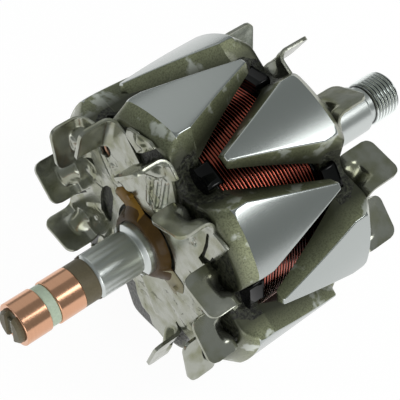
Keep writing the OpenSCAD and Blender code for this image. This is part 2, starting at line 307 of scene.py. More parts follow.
def rounded(points, radius, steps=4):
    """An open outline of (r, z) points with its inner corners rounded."""
    points = [np.array(p, float) for p in points]
    out = [points[0]]
    for before, corner, after in zip(points, points[1:], points[2:]):
        reach = min(radius, np.linalg.norm(before - corner) / 2.2, np.linalg.norm(after - corner) / 2.2)
        a = corner + (before - corner) / np.linalg.norm(before - corner) * reach
        b = corner + (after - corner) / np.linalg.norm(after - corner) * reach
        for t in np.linspace(0, 1, steps + 1):
            out.append((1 - t) ** 2 * a + 2 * t * (1 - t) * corner + t * t * b)
    return np.array(out + [points[-1]])


def held(outline, reach=0.12):
    """An outline with extra points near the ends of its long runs, so that they shade straight."""
    out = [outline[0]]
    for a, b in zip(outline, outline[1:]):
        run = np.linalg.norm(b - a)
        if run > 6 * reach:
            out += [a + (b - a) * reach / run, b - (b - a) * reach / run]
        out.append(b)
    return np.array(out)


def lathe(skin, outline, segments=128, finishes=0):
    """Turns an (r, z) outline round the axis."""
    turns = np.linspace(0, 360, segments, endpoint=False)
    outline = held(np.asarray(outline))
    skin.grid(polar(outline[:, :1], turns[None, :], outline[:, 1:]), closed=True, finishes=finishes)


# Finishes

def linear(code):
    """sRGB code to a linear colour."""
    values = [int(code[i:i + 2], 16) / 255 for i in (1, 3, 5)]
    return tuple(v / 12.92 if v <= 0.04045 else ((v + 0.055) / 1.055) ** 2.4 for v in values) + (1,)


def shaded(code, share):
    """A colour made darker or lighter."""
    r, g, b, a = linear(code)
    return (min(1, r * share), min(1, g * share), min(1, b * share), a)


def add_node(tree, kind, inputs=(), **settings):
    """A node with its settings. Each input is a value or a socket to link."""
    item = tree.nodes.new(kind)
    for key, value in settings.items():
        setattr(item, key, value)
    for key, value in dict(inputs).items():
        if isinstance(value, bpy.types.NodeSocket):
            tree.links.new(value, item.inputs[key])
        else:
            item.inputs[key].default_value = value
    return item


def new_finish(name, code, **sockets):
    """A material with its surface shader, its tree and rotor coordinates in metres."""
    material = bpy.data.materials.new(name)
    material.use_nodes = True
    tree = material.node_tree
    shader = tree.nodes["Principled BSDF"]
    shader.inputs["Base Color"].default_value = linear(code)
    for key, value in sockets.items():
        shader.inputs[key.replace("_", " ").title().replace("Ior", "IOR")].default_value = value
    coords = add_node(tree, "ShaderNodeTexCoord").outputs["Object"]
    return material, tree, shader, coords


def per_metre(millimetres):
    """Texture scale at which one cell measures so many millimetres."""
    return 1 / (millimetres * MM)


def from_axis(tree, coords):
    """Distance from the rotor's axis in metres."""
    across = add_node(tree, "ShaderNodeMapping", {
        "Vector": coords, "Location": (0, 0, -AXIS_Z), "Scale": (0, 1, 1)})
    gap = add_node(tree, "ShaderNodeVectorMath", {0: across.outputs[0]}, operation="LENGTH")
    return gap.outputs["Value"]


def turned_steel(code):
    """Low-carbon steel turned on a lathe: fine rings round the axis catch light along the axis."""
    material, tree, shader, coords = new_finish("turned_steel", code, metallic=1.0, roughness=0.26)
    # The real feed marks are 0.1 mm apart, drawn at 0.22 mm so that they show
    along = add_node(tree, "ShaderNodeMapping", {"Vector": coords, "Scale": (1, 0.02, 0.02)})
    marks = add_node(tree, "ShaderNodeTexNoise", {
        "Vector": along.outputs[0], "Scale": per_metre(0.22), "Detail": 2.0, "Roughness": 0.6})
    rough = add_node(tree, "ShaderNodeMapRange", {
        "Value": marks.outputs["Fac"], "From Min": 0.3, "From Max": 0.7, "To Min": 0.22, "To Max": 0.25})
    tree.links.new(rough.outputs[0], shader.inputs["Roughness"])
    bump = add_node(tree, "ShaderNodeBump", {
        "Height": marks.outputs["Fac"], "Strength": 0.015, "Distance": 0.05 * MM})
    tree.links.new(bump.outputs[0], shader.inputs["Normal"])
    return material


def forged_steel(code):
    """Hot-forged steel, shot-blasted: grey-olive, speckled with dark pits, with pale patches where the scale
    came off, and with painted shade towards the axis.
    """
    material, tree, shader, coords = new_finish(
        "forged_steel", code, metallic=0.7, roughness=0.42, coat_weight=0.4, coat_roughness=0.1)
    cloud = add_node(tree, "ShaderNodeTexNoise", {"Vector": coords, "Scale": per_metre(9), "Detail": 4.0})
    patches = add_node(tree, "ShaderNodeMix", {
        0: cloud.outputs["Fac"], 6: shaded(code, 0.55), 7: shaded(code, 1.3)}, data_type="RGBA")
    grain = add_node(tree, "ShaderNodeTexNoise", {
        "Vector": coords, "Scale": per_metre(0.5), "Detail": 2.0, "Roughness": 0.6})
    pits = add_node(tree, "ShaderNodeMapRange", {
        "Value": grain.outputs["Fac"], "From Min": 0.36, "From Max": 0.56})
    tone = add_node(tree, "ShaderNodeMix", {
        0: pits.outputs[0], 6: shaded(code, 0.55), 7: patches.outputs[2]}, data_type="RGBA")
    # Pale patches where the scale came off
    bald = add_node(tree, "ShaderNodeMapRange", {
        "Value": cloud.outputs["Fac"], "From Min": 0.58, "From Max": 0.63})
    tone = add_node(tree, "ShaderNodeMix", {
        0: bald.outputs[0], 6: tone.outputs[2], 7: linear("#DDE2D8")}, data_type="RGBA")
    # The flanks are darker near the axis: partly varnish that ran inwards, partly painted shade between the
    # claws
    painted_shade_fade = add_node(tree, "ShaderNodeMapRange", {
        "Value": from_axis(tree, coords), "From Min": 41.5 * MM, "From Max": 46.8 * MM})
    film = add_node(tree, "ShaderNodeMix", {
        0: painted_shade_fade.outputs[0], 6: shaded(code, 0.18), 7: tone.outputs[2]}, data_type="RGBA")
    tree.links.new(film.outputs[2], shader.inputs["Base Color"])
    bump = add_node(tree, "ShaderNodeBump", {
        "Height": grain.outputs["Fac"], "Strength": 0.3, "Distance": 0.12 * MM})
    tree.links.new(bump.outputs[0], shader.inputs["Normal"])
    return material


def varnished_forging(code):
    """Rough forging under pooled impregnating varnish: near black, with small wet glints."""
    material, tree, shader, coords = new_finish(
        "varnished_forging", code, roughness=0.5, coat_weight=0.5, coat_roughness=0.04,
        specular_ior_level=0.2)
    lumps = add_node(tree, "ShaderNodeTexNoise", {
        "Vector": coords, "Scale": per_metre(1.1), "Detail": 4.0, "Roughness": 0.6})
    high = add_node(tree, "ShaderNodeMapRange", {
        "Value": lumps.outputs["Fac"], "From Min": 0.4, "From Max": 0.72})
    tone = add_node(tree, "ShaderNodeMix", {
        0: high.outputs[0], 6: shaded(code, 0.6), 7: linear("#4E5140")}, data_type="RGBA")
    tree.links.new(tone.outputs[2], shader.inputs["Base Color"])
    bump = add_node(tree, "ShaderNodeBump", {
        "Height": lumps.outputs["Fac"], "Strength": 0.9, "Distance": 0.6 * MM})
    tree.links.new(bump.outputs[0], shader.inputs["Normal"])
    tree.links.new(bump.outputs[0], shader.inputs["Coat Normal"])
    return material


def fan_sheet(code):
    """Zinc-plated rolled sheet, pressed: bright, slightly wavy, with an olive film of oil."""
    material, tree, shader, coords = new_finish("fan_sheet", code, metallic=0.9, roughness=0.2)
    film = add_node(tree, "ShaderNodeTexNoise", {"Vector": coords, "Scale": per_metre(7), "Detail": 3.0})
    fade = add_node(tree, "ShaderNodeMapRange", {
        "Value": film.outputs["Fac"], "From Min": 0.42, "From Max": 0.66})
    tone = add_node(tree, "ShaderNodeMix", {
        0: fade.outputs[0], 6: linear(code), 7: linear("#8C8E77")}, data_type="RGBA")
    tree.links.new(tone.outputs[2], shader.inputs["Base Color"])
    rough = add_node(tree, "ShaderNodeMapRange", {
        "Value": film.outputs["Fac"], "To Min": 0.14, "To Max": 0.32})
    tree.links.new(rough.outputs[0], shader.inputs["Roughness"])
    wave = add_node(tree, "ShaderNodeTexNoise", {"Vector": coords, "Scale": per_metre(3.2), "Detail": 2.0})
    bump = add_node(tree, "ShaderNodeBump", {
        "Height": wave.outputs["Fac"], "Strength": 0.3, "Distance": 0.2 * MM})
    tree.links.new(bump.outputs[0], shader.inputs["Normal"])
    return material


def ground_steel(code):
    """Shaft steel, ground between centres: bright lines along the axis, with faint rings."""
    material, tree, shader, coords = new_finish("ground_steel", code, metallic=1.0, roughness=0.14)
    # Grinding marks are a few microns apart, drawn at 0.25 mm so that they show
    along = add_node(tree, "ShaderNodeMapping", {"Vector": coords, "Scale": (1, 0.03, 0.03)})
    marks = add_node(tree, "ShaderNodeTexNoise", {
        "Vector": along.outputs[0], "Scale": per_metre(0.25), "Detail": 2.0})
    rough = add_node(tree, "ShaderNodeMapRange", {
        "Value": marks.outputs["Fac"], "To Min": 0.3, "To Max": 0.33})
    tree.links.new(rough.outputs[0], shader.inputs["Roughness"])
    # The rings of the wheel spread the reflections along the axis only
    around = add_node(tree, "ShaderNodeTangent", direction_type="RADIAL", axis="X")
    tree.links.new(around.outputs[0], shader.inputs["Tangent"])
    shader.inputs["Anisotropic"].default_value = 0.1
    shader.inputs["Anisotropic Rotation"].default_value = 0.25
    return material


def rolled_thread(code):
    """Rolled thread of the shaft: painted highlight on the crests and painted shade in the roots."""
    material, tree, shader, coords = new_finish("rolled_thread", code, metallic=1.0, roughness=0.2)
    # Painted shade in the roots and painted highlight on the crests, set by the distance from the axis
    crest = add_node(tree, "ShaderNodeMapRange", {
        "Value": from_axis(tree, coords), "From Min": 7.25 * MM, "From Max": 7.8 * MM})
    tone = add_node(tree, "ShaderNodeMix", {
        0: crest.outputs[0], 6: shaded(code, 0.1), 7: shaded(code, 1.5)}, data_type="RGBA")
    tree.links.new(tone.outputs[2], shader.inputs["Base Color"])
    return material


def ring_copper(code):
    """Hard copper, turned and lightly run in: warm, with fine rings."""
    material, tree, shader, coords = new_finish("ring_copper", code, metallic=1.0, roughness=0.22)
    along = add_node(tree, "ShaderNodeMapping", {"Vector": coords, "Scale": (1, 0.03, 0.03)})
    marks = add_node(tree, "ShaderNodeTexNoise", {
        "Vector": along.outputs[0], "Scale": per_metre(0.3), "Detail": 3.0})
    tone = add_node(tree, "ShaderNodeMix", {
        0: marks.outputs["Fac"], 6: shaded(code, 0.92), 7: shaded(code, 1.06)}, data_type="RGBA")
    tree.links.new(tone.outputs[2], shader.inputs["Base Color"])
    rough = add_node(tree, "ShaderNodeMapRange", {
        "Value": marks.outputs["Fac"], "To Min": 0.16, "To Max": 0.22})
    tree.links.new(rough.outputs[0], shader.inputs["Roughness"])
    return material


def enamelled_wire(code, pitch, start):
    """Copper wire under clear red-brown enamel: each turn has a bright line, with painted shade between the
    turns.
    """
    material, tree, shader, coords = new_finish(
        "enamelled_wire", code, metallic=1.0, roughness=0.17, coat_weight=0.5, coat_roughness=0.05)
    cloud = add_node(tree, "ShaderNodeTexNoise", {"Vector": coords, "Scale": per_metre(6), "Detail": 2.0})
    tone = add_node(tree, "ShaderNodeMix", {
        0: cloud.outputs["Fac"], 6: shaded(code, 0.5), 7: shaded(code, 1.4)}, data_type="RGBA")
    along = add_node(tree, "ShaderNodeSeparateXYZ", {"Vector": coords})
    turns = add_node(tree, "ShaderNodeMath", {
        0: along.outputs["X"], 1: per_metre(pitch), 2: -start * per_metre(pitch)}, operation="MULTIPLY_ADD")
    fold = add_node(tree, "ShaderNodeMath", {0: turns.outputs[0], 1: 0.5}, operation="PINGPONG")
    crown = add_node(tree, "ShaderNodeMapRange", {
        "Value": fold.outputs[0], "From Min": 0.1, "From Max": 0.32})
    # Painted shade between the turns, where the wires meet
    painted_gap_shade = add_node(tree, "ShaderNodeMix", {
        0: crown.outputs[0], 6: linear("#1C0D0A"), 7: tone.outputs[2]}, data_type="RGBA")
    tree.links.new(painted_gap_shade.outputs[2], shader.inputs["Base Color"])
    return material


def moulding(name, code, roughness, grain_mm, strength, gloss=0.5):
    """Moulded plastic: even colour, with the mould's fine orange-peel."""
    material, tree, shader, coords = new_finish(name, code, roughness=roughness, specular_ior_level=gloss)
    peel = add_node(tree, "ShaderNodeTexNoise", {
        "Vector": coords, "Scale": per_metre(grain_mm), "Detail": 3.0})
    tone = add_node(tree, "ShaderNodeMix", {
        0: peel.outputs["Fac"], 6: shaded(code, 0.8), 7: shaded(code, 1.2)}, data_type="RGBA")
    tree.links.new(tone.outputs[2], shader.inputs["Base Color"])
    bump = add_node(tree, "ShaderNodeBump", {
        "Height": peel.outputs["Fac"], "Strength": strength, "Distance": 0.1 * MM})
    tree.links.new(bump.outputs[0], shader.inputs["Normal"])
    return material


def cast_resin(name, code):
    """Cast brown resin: smooth and deep, amber where it is thin, glossy drops."""
    material, tree, shader, coords = new_finish(
        name, code, roughness=0.3, coat_weight=0.05, coat_roughness=0.05, specular_ior_level=0.1)
    depth = add_node(tree, "ShaderNodeTexNoise", {"Vector": coords, "Scale": per_metre(5), "Detail": 3.0})
    tone = add_node(tree, "ShaderNodeMix", {
        0: depth.outputs["Fac"], 6: shaded(code, 0.6), 7: shaded(code, 1.6)}, data_type="RGBA")
    tree.links.new(tone.outputs[2], shader.inputs["Base Color"])
    bump = add_node(tree, "ShaderNodeBump", {
        "Height": depth.outputs["Fac"], "Strength": 0.3, "Distance": 0.4 * MM})
    tree.links.new(bump.outputs[0], shader.inputs["Normal"])
    return material


# Claw poles

TURNED, FORGED, VARNISHED = range(3)
# Faces across half a claw: its machined arc, its corner and its flank
# The lathe also cut the first faces of the corner
ARC_STEPS = 8
CURVE_STEPS = 4
RIM_STEPS = 3
FLANK_STEPS = 6
# The varnish covers a flank below these faces
BARE_STEPS = 3
VALLEY_POINTS = 8
CLAW_ROWS = 24
SHARP_EDGE = 0.4


class ClawShape:
    """Outlines of a claw pole across its axis, for the drive end"""

    def __init__(self, size):
        self.size = size
        self.rotor_r = size.rotor_d / 2
        self.disc_z = size.face_z - size.disc_t
        self.shoulder_z = size.face_z - size.shoulder
        self.half_pitch = math.radians(CLAW_PITCH / 2)
        slope = math.tan(size.draft)
        root_x = self.rotor_r * math.cos(size.root_turn)
        self.root_sum = self.rotor_r * math.sin(size.root_turn) + slope * root_x
        self.tip_sum = size.tip_w / 2 + slope * self.rotor_r
        round_reach = size.valley_r / math.cos(size.draft)
        valley_slope = math.sin(self.half_pitch) + slope * math.cos(self.half_pitch)
        self.valley_mid = (self.root_sum + round_reach) / valley_slope
        self.valley_floor = self.valley_mid - size.valley_r

    def tip_share(self, z):
        return np.clip((self.disc_z - z) / (self.disc_z + self.size.tip_z), 0, 1)

    def edge_turn(self, radius, z):
        """Angle from a claw's middle to its flank at a radius."""
        share = self.tip_share(z)
        flank_sum = (1 - share) * self.root_sum + share * self.tip_sum
        return math.asin(flank_sum * math.cos(self.size.draft) / radius) - self.size.draft

    def corner_reach(self, z):
        """The machined edge is sharp along the claw and rounds off at the forged shoulder."""
        near = np.clip((z - self.shoulder_z) / self.size.forge_r + 1, 0, 1)
        return SHARP_EDGE + (self.size.forge_r - SHARP_EDGE) * (1 - np.sqrt(1 - near * near))

    def half_outline(self, top_r, z, reach, low):
        """From a claw's middle over its corner and down its flank to the low point."""
        edge = self.edge_turn(top_r, z)
        corner = at_turn(top_r, edge)
        arc = np.linspace(0, edge - reach / top_r, ARC_STEPS + 1)[:-1]
        toward_flank = (low - corner) / np.linalg.norm(low - corner)
        a = at_turn(top_r, edge - reach / top_r)
        b = corner + toward_flank * reach
        t = np.linspace(0, 1, CURVE_STEPS + 1)[:, None]
        curve = (1 - t) ** 2 * a + 2 * t * (1 - t) * corner + t * t * b
        down = np.linspace(b, low, FLANK_STEPS + 1)[1:]
        return np.concatenate([at_turn(top_r, arc), curve, down])

    def claw_loop(self, z, inset=0.0):
        """Closed outline of one claw at z, past the disc."""
        share = self.tip_share(z)
        in_r = (1 - share) * self.size.foot_r + share * (self.rotor_r - self.size.tip_t) + inset
        edge = self.edge_turn(in_r, z)
        half = self.half_outline(self.rotor_r - inset, z, self.corner_reach(z), at_turn(in_r, edge))
        right = np.concatenate([half, at_turn(in_r, np.linspace(edge, 0, FLANK_STEPS + 1)[1:])])
        loop = np.concatenate([right, right[1:-1][::-1] * [1, -1]])
        return pushed_in(loop, inset / 2)

    def star_loop(self, top_r, reach):
        """Closed outline of the disc, with its valleys, from the middle of one valley on."""
        size = self.size
        middle = at_turn(self.valley_mid, self.half_pitch)
        normal = np.array([math.sin(size.draft), math.cos(size.draft)])
        half = self.half_outline(top_r, size.face_z, reach, middle - size.valley_r * normal)
        start = math.atan2(-normal[1], -normal[0])
        sweep = np.linspace(start, self.half_pitch - math.pi, VALLEY_POINTS)[1:]
        floor = middle + at_turn(size.valley_r, sweep)
        right = np.concatenate([half, floor])
        sector = np.concatenate([right[1:][::-1] * [1, -1], right[:-1]])
        spins = [CLAW_PITCH * i for i in range(CLAW_COUNT)]
        flat = np.concatenate([sector, np.zeros((len(sector), 1))], axis=1)
        return np.concatenate([turned(flat, spin)[:, :2] for spin in spins])

    def star_finishes(self):
        """Finish of each column of star_loop below the shoulder, for one claw."""
        right = [TURNED] * (ARC_STEPS + RIM_STEPS)
        right += [FORGED] * (CURVE_STEPS - RIM_STEPS + BARE_STEPS)
        right += [VARNISHED] * (FLANK_STEPS - BARE_STEPS + VALLEY_POINTS - 1)
        return np.array((right[::-1] + right) * CLAW_COUNT)


def at_turn(radius, angle):
    return radius * np.stack([np.cos(angle), np.sin(angle)], axis=-1)


def pushed_in(loop, amount):
    """A closed outline moved inwards along its normals."""
    along = np.roll(loop, -1, axis=0) - np.roll(loop, 1, axis=0)
    along /= np.linalg.norm(along, axis=1, keepdims=True) + 1e-12
    return loop + np.reshape(amount, (-1, 1)) * np.stack([-along[:, 1], along[:, 0]], axis=1)


def at_height(loop, z):
    return np.concatenate([loop, np.full((len(loop), 1), z)], axis=1)


def claw_pole(size):
    """Skin of a claw pole for the drive end: the disc with its core, then six claws."""
    shape = ClawShape(size)
    skin = Skin()
    # Each row: its place along the axis, and how far its edge is rounded off
    low = [(shape.disc_z, 0.6), (shape.disc_z + 0.15, 0.2), (shape.disc_z + 0.6, 0)]
    low += [(shape.shoulder_z - share * size.forge_r, 0) for share in (1, 0.7, 0.45, 0.25, 0.1, 0.03)]
    slope = [(shape.shoulder_z + share * size.shoulder, 0) for share in (0, 0.3, 0.6, 0.85)]
    top = [(size.face_z - 0.35, 0.15), (size.face_z - 0.1, 0.5), (size.face_z, 1.1)]
    rows = []
    machined = []
    columns = shape.star_finishes()
    for z, inset in low + slope + top:
        top_r = shape.rotor_r - max(0, z - shape.shoulder_z)
        # Below the shoulder only the valleys are rounded, as the claws go on from there
        inset = np.where((columns == VARNISHED) | (z > shape.shoulder_z), inset, 0)
        rows.append(at_height(pushed_in(shape.star_loop(top_r, shape.corner_reach(z)), inset), z))
        machined.append(z < shape.shoulder_z)
    turns = np.degrees(np.arctan2(rows[0][:, 1], rows[0][:, 0]))
    rings = [(size.core_r, size.face_z), (size.bore_r, size.face_z), (size.bore_r, 0), (size.core_r, 0),
             (size.core_r, shape.disc_z)]
    rows += [polar(r, turns, z) for r, z in rings] + [rows[0]]
    machined += [False] * (len(rings) + 1)
    unmachined = np.where(columns == TURNED, FORGED, columns)
    finishes = []
    for i in range(len(rows) - 1):
        on_disc = i < len(low + slope + top) - 1
        kinds = columns if machined[i] else unmachined
        finishes += list(kinds) if on_disc else [VARNISHED] * len(columns)
    skin.grid(np.array(rows), closed=True, finishes=finishes)
    # A claw's tip is rounded off in two rows, and its root is sunk in the disc
    tip = [(-size.tip_z, 0.5), (0.15 - size.tip_z, 0.15)]
    along = [(z, 0) for z in np.linspace(0.5 - size.tip_z, shape.disc_z, CLAW_ROWS)]
    stations = tip + along + [(shape.disc_z + 1.2, 0.6)]
    loops = np.array([at_height(shape.claw_loop(z, inset), z) for z, inset in stations])
    count = loops.shape[1]
    face = ARC_STEPS + RIM_STEPS
    on_top = [TURNED if j < face or j >= count - face else FORGED for j in range(count)]
    for i in range(CLAW_COUNT):
        skin.tube(turned(loops, CLAW_PITCH * i), on_top * (len(loops) - 1), FORGED)
    return skin


def add_claw_poles(settings, finishes):
    size = in_mm(settings.poles)
    rear_turn = math.degrees(size.rear_turn)
    for name, node, spin in (("front_claws", "front_claw_pole", rear_turn + CLAW_PITCH / 2),
                             ("rear_claws", "rear_claw_pole", rear_turn)):
        skin = claw_pole(size)
        skin.points = [turned(points, spin) for points in skin.points]
        if node == "rear_claw_pole":
            skin.mirrored()
        skin.piece(name, finishes, "forged_steel", [node], crease=28)


# Winding and bobbin

WIRE_SLACK = 0.07
WIRE_SAG = 0.06
WIRE_WANDER = 0.05
# Share of a wire's roundness that shows, as varnish fills the foot of each gap
WIRE_ROUND = 0.97
TAB_LIFT = 0.15
TAB_SIDE = 2.2
TAB_FOOT = 0.45
TAB_CORNER_R = 0.9


def wire_count(size):
    return int(2 * size.half_len / size.wire_pitch)


def add_field_coil(settings, finish):
    size = in_mm(settings.coil)
    random = np.random.default_rng(7)
    count = wire_count(size)
    pitch = 2 * size.half_len / count
    wire_r = pitch / 2
    turns = np.linspace(0, 360, 144, endpoint=False)
    across = np.linspace(-1, 1, 8)[:-1]
    rows = []
    for i in range(count):
        slack = abs(random.normal(0, WIRE_SLACK))
        sag = slack + WIRE_SAG * (1 + np.sin(np.radians(turns * 2) + random.uniform(0, 6.28)))
        wander = WIRE_WANDER * np.sin(np.radians(turns * 3) + random.uniform(0, 6.28))
        for q in across:
            z = -size.half_len + pitch * (i + 0.5) + wire_r * q + wander * (1 - q * q)
            r = size.outer_r - wire_r * (1 - math.sqrt(1 - WIRE_ROUND * q * q)) - sag
            rows.append(polar(r, turns, z))
    rows.append(polar(size.outer_r - wire_r, turns, size.half_len))
    rows.append(polar(size.inner_r, turns, size.half_len))
    rows.append(polar(size.inner_r, turns, -size.half_len))
    rows.append(rows[0])
    skin = Skin()
    skin.grid(np.array(rows), closed=True)
    skin.piece("winding", [finish], "enamelled_copper", ["field_coil"], crease=80)


def tab_rows(size, shape):
    """Loops of a bobbin tab along a valley of the front pole."""
    floor = shape.valley_floor + TAB_LIFT
    half = size.tab_w / 2
    side = floor + TAB_SIDE
    top = floor + size.tab_h
    outline = rounded([
        (floor, 0), (floor, half * TAB_FOOT), (side, half), (top, half), (top, 0)], TAB_CORNER_R, 5)
    loop = np.concatenate([outline, outline[1:-1][::-1] * [1, -1]])
    start = size.half_len
    end = start + size.bobbin_t + size.tab_len
    # Each loop: its place along the axis, and how far its edge is rounded off
    places = [(start + 0.1, 0.5), (start + 0.3, 0.15), (start + 0.8, 0),
              (end - 0.8, 0), (end - 0.3, 0.2), (end - 0.05, 0.7)]
    return np.array([at_height(pushed_in(loop, inset), z) for z, inset in places])


def add_coil_bobbin(settings, finish):
    size = in_mm(settings.coil)
    poles = in_mm(settings.poles)
    shape = ClawShape(poles)
    skin = Skin()
    z = size.half_len
    cheek = z + size.bobbin_t
    bore = size.inner_r - size.bobbin_t
    outline = [(bore, 0), (bore, cheek), (size.outer_r, cheek), (size.outer_r, z), (size.inner_r, z),
               (size.inner_r, -z), (size.outer_r, -z), (size.outer_r, -cheek), (bore, -cheek), (bore, 0)]
    lathe(skin, rounded(outline, 0.35, 3))
    rows = tab_rows(size, shape)
    rear_turn = math.degrees(poles.rear_turn)
    for i in range(CLAW_COUNT):
        skin.tube(turned(rows, rear_turn + CLAW_PITCH * i))
        skin.tube(turned(rows * [1, 1, -1], rear_turn + CLAW_PITCH * (i + 0.5)))
    skin.piece("bobbin", [finish], "bobbin_moulding", ["coil_bobbin"], crease=40)


# Fans

REAR_BLADES = (-118, -86, -51, -26, 7, 36, 71, 99, 126, 159, 214)
FRONT_BLADES = (-148, -115, -78, -44, -8, 28, 62, 97, 126, 156, 186)
TONGUE_SIDE = 3.0
TONGUE_ROOT = 14.0
TONGUE_STEP = 6.0
NOTCH_GAP = 0.8
SHEARED_EDGE = 0.18
# Flat strip of a tongue that is meshed with its blade, and how far a blade is dished
FOOT = 4.0
DISH = 0.12
DISH_EDGE = 4
# A gusset's slope at its sides, and the share of its run that fades at each end
GUSSET_SIDE = 1.5
GUSSET_SLOPE = 4.2
GUSSET_FADE = 0.22
BLADE_COLUMNS = 41
BLADE_ROWS = 44
# Triangles of the sheet, the half width of the field that they fill, and a reach past every fan
SHEET_STEP = 0.7
SHEET_HALF = 48
FAR = 60.0

# Places on the fans are (radius, turn)
# A weld is a boss with a crater and a nib, each (half width, height)
WELDS = ((29.2, -65), (29.4, -11), (27.3, -110), (26.5, -175), (28.6, 50.8), (28, 112))
WELD_DOMES = ((3.0, 0.6), (2.1, -1.1), (0.9, 0.6))
WELD_RINGS = (0.45, 0.9, 1.5, 2.1, 2.6)
BEAD_START = (19, 26)
BEAD_STOP = (30, 14)
# (half width, height) of what is pressed into the sheet
BEAD = (1.7, 0.55)
RIB = (1.5, 0.6)
CHANNEL_LIPS = (3.4, 0.7)
CHANNEL_BED = (1.8, 1.0)
LEAD_HOLE = (32.2, -35)
LEAD_HOLE_R = 3.0
LEAD_BLADE = (-26,)
LEAD_CHANNEL = ((30, -37), (21.5, -38))
PLAIN_TONGUES = (-26, 7, 36)
RIBS = (((29.2, 6), (19.8, 7)), ((32.1, 12), (19, 15)), ((35, 17), (22.9, 21)))
# Radius and turn of its middle, half width and half turn
CRESCENT = (19.6, -82, 3.0, 26)
SLOT = ((38.1, 46.8), (39.2, 47.4), (35.4, 53.6), (31.5, 59.4), (31, 64), (28.8, 65.7), (27.6, 62),
        (31.4, 56.7), (35.2, 51.2))
LOBES = (
    ((43, -9), (43.5, -3), (43.8, 4), (43, 8), (42.5, 12), (40, 13), (33.5, 3), (36, -4), (40, -11)),
    ((24, -160), (26, -165), (30.7, -169), (34.6, -174), (36.4, 177), (37.7, 168), (36, 160), (24, 160)),
    ((36, 42), (40.1, 43.6), (41.5, 47.2), (44.6, 54.5), (42.6, 56.2), (37.4, 60.2), (33.4, 61.7),
     (31, 59.5), (35, 53.6), (38.8, 47.8)),
)
# (radius, turn, half width) of the dents in a lobe
LOBE_DENTS = ((41.8, -1, 3.2), (39, 3, 2.4))
LOBE_DENT = 1.3


class BladeShape:
    """One blade in its own plan: u along the bend, v from the bend to the ring, and its height"""

    def __init__(self, size, height):
        self.size = size
        self.mid_bend = size.bend_r + size.sheet_t / 2
        self.sheet_z = size.sheet_t / 2 + 0.05
        self.arc = self.mid_bend * math.pi / 2
        self.rise = height - self.sheet_z - self.mid_bend - 0.02
        self.centre = size.mid_r * np.array([-math.cos(size.lean), math.sin(size.lean)])

    def to_plan(self, uv):
        """Blade's own plan to the fan's plan at turn 0."""
        c = math.cos(self.size.lean)
        s = math.sin(self.size.lean)
        uv = np.asarray(uv, float)
        x = self.size.mid_r + uv[..., 0] * c - uv[..., 1] * s
        return np.stack([x, uv[..., 0] * s + uv[..., 1] * c], axis=-1)

    def path(self, run):
        """(v, z) of the bent sheet at a run from the start of the bend, negative on the tongue."""
        angle = np.clip(run, 0, self.arc) / self.mid_bend
        v = self.mid_bend - np.minimum(run, 0) - self.mid_bend * np.sin(angle)
        z = self.sheet_z + self.mid_bend * (1 - np.cos(angle)) + np.maximum(run - self.arc, 0)
        return v, z

    def tongue(self):
        half = self.size.blade_w / 2
        start = self.mid_bend + FOOT
        return np.array([
            (-half, start), (half, start), (half, start + TONGUE_SIDE),
            self.centre + [TONGUE_STEP, TONGUE_ROOT], self.centre - [0, TONGUE_ROOT],
            (-half, self.mid_bend)])

    def patch(self, pressed=True):
        """Rows of the bent blade, from its tongue to its free edge, with the gusset pressed in."""
        size = self.size
        half = size.blade_w / 2
        u = np.linspace(-half, half, BLADE_COLUMNS)[None, :]
        over = np.clip(np.abs(u) - (half - size.corner_r), 0, size.corner_r)
        full = self.arc + self.rise
        last = full - size.corner_r + np.sqrt(np.maximum(size.corner_r ** 2 - over ** 2, 0))
        share = np.linspace(0, 1, BLADE_ROWS)[:, None]
        run = -FOOT + share * (last + FOOT)
        v, z = self.path(run)
        from_run = -size.gusset_reach
        to_run = self.arc + size.gusset_reach
        reach = np.clip((run - from_run) / (to_run - from_run), 0, 1)
        v0, z0 = self.path(np.array(from_run))
        v1, z1 = self.path(np.array(to_run))
        press = smoothstep((size.gusset_w / 2 + GUSSET_SIDE - np.abs(u)) / GUSSET_SLOPE)
        press = pressed * press * smoothstep(np.minimum(reach, 1 - reach) / GUSSET_FADE)
        v = v + press * (v0 + (v1 - v0) * reach - v)
        z = z + press * (z0 + (z1 - z0) * reach - z)
        # The blade is dished, so that its rim stands out
        inner = np.minimum(half - np.abs(u), np.minimum(run - self.arc, last - run))
        v = v - DISH * smoothstep(inner / DISH_EDGE)
        plan = self.to_plan(np.stack([np.broadcast_to(u, v.shape), v], axis=-1))
        return np.concatenate([plan, z[..., None]], axis=-1)


def in_polygon(points, corners):
    inside = np.zeros(len(points), bool)
    for (x0, y0), (x1, y1) in zip(corners, np.roll(corners, -1, axis=0)):
        crosses = (y0 > points[:, 1]) != (y1 > points[:, 1])
        with np.errstate(divide="ignore", invalid="ignore"):
            inside ^= crosses & (points[:, 0] < (x1 - x0) * (points[:, 1] - y0) / (y1 - y0) + x0)
    return inside


def spun(points, degrees):
    a = math.radians(degrees)
    c = math.cos(a)
    s = math.sin(a)
    return points @ np.array([[c, s], [-s, c]])


def circle(radius, count, centre=(0, 0)):
    return np.array(centre) + at_turn(radius, np.linspace(0, 2 * math.pi, count, endpoint=False))


def place(spot):
    """Plan of a (radius, turn) place."""
    return at_turn(spot[0], math.radians(spot[1]))


def outline_of(spots):
    """Plan of a closed outline of (radius, turn) places."""
    return np.array([place(spot) for spot in spots])


def joined(loops, lines):
    """Points of closed loops and open lines, with the edges along them."""
    points = []
    edges = []
    for outline, closed in [(loop, True) for loop in loops] + [(line, False) for line in lines]:
        first = len(points)
        points += [tuple(p) for p in outline]
        edges += [(first + i, first + i + 1) for i in range(len(outline) - 1)]
        if closed:
            edges.append((len(points) - 1, first))
    return points, edges


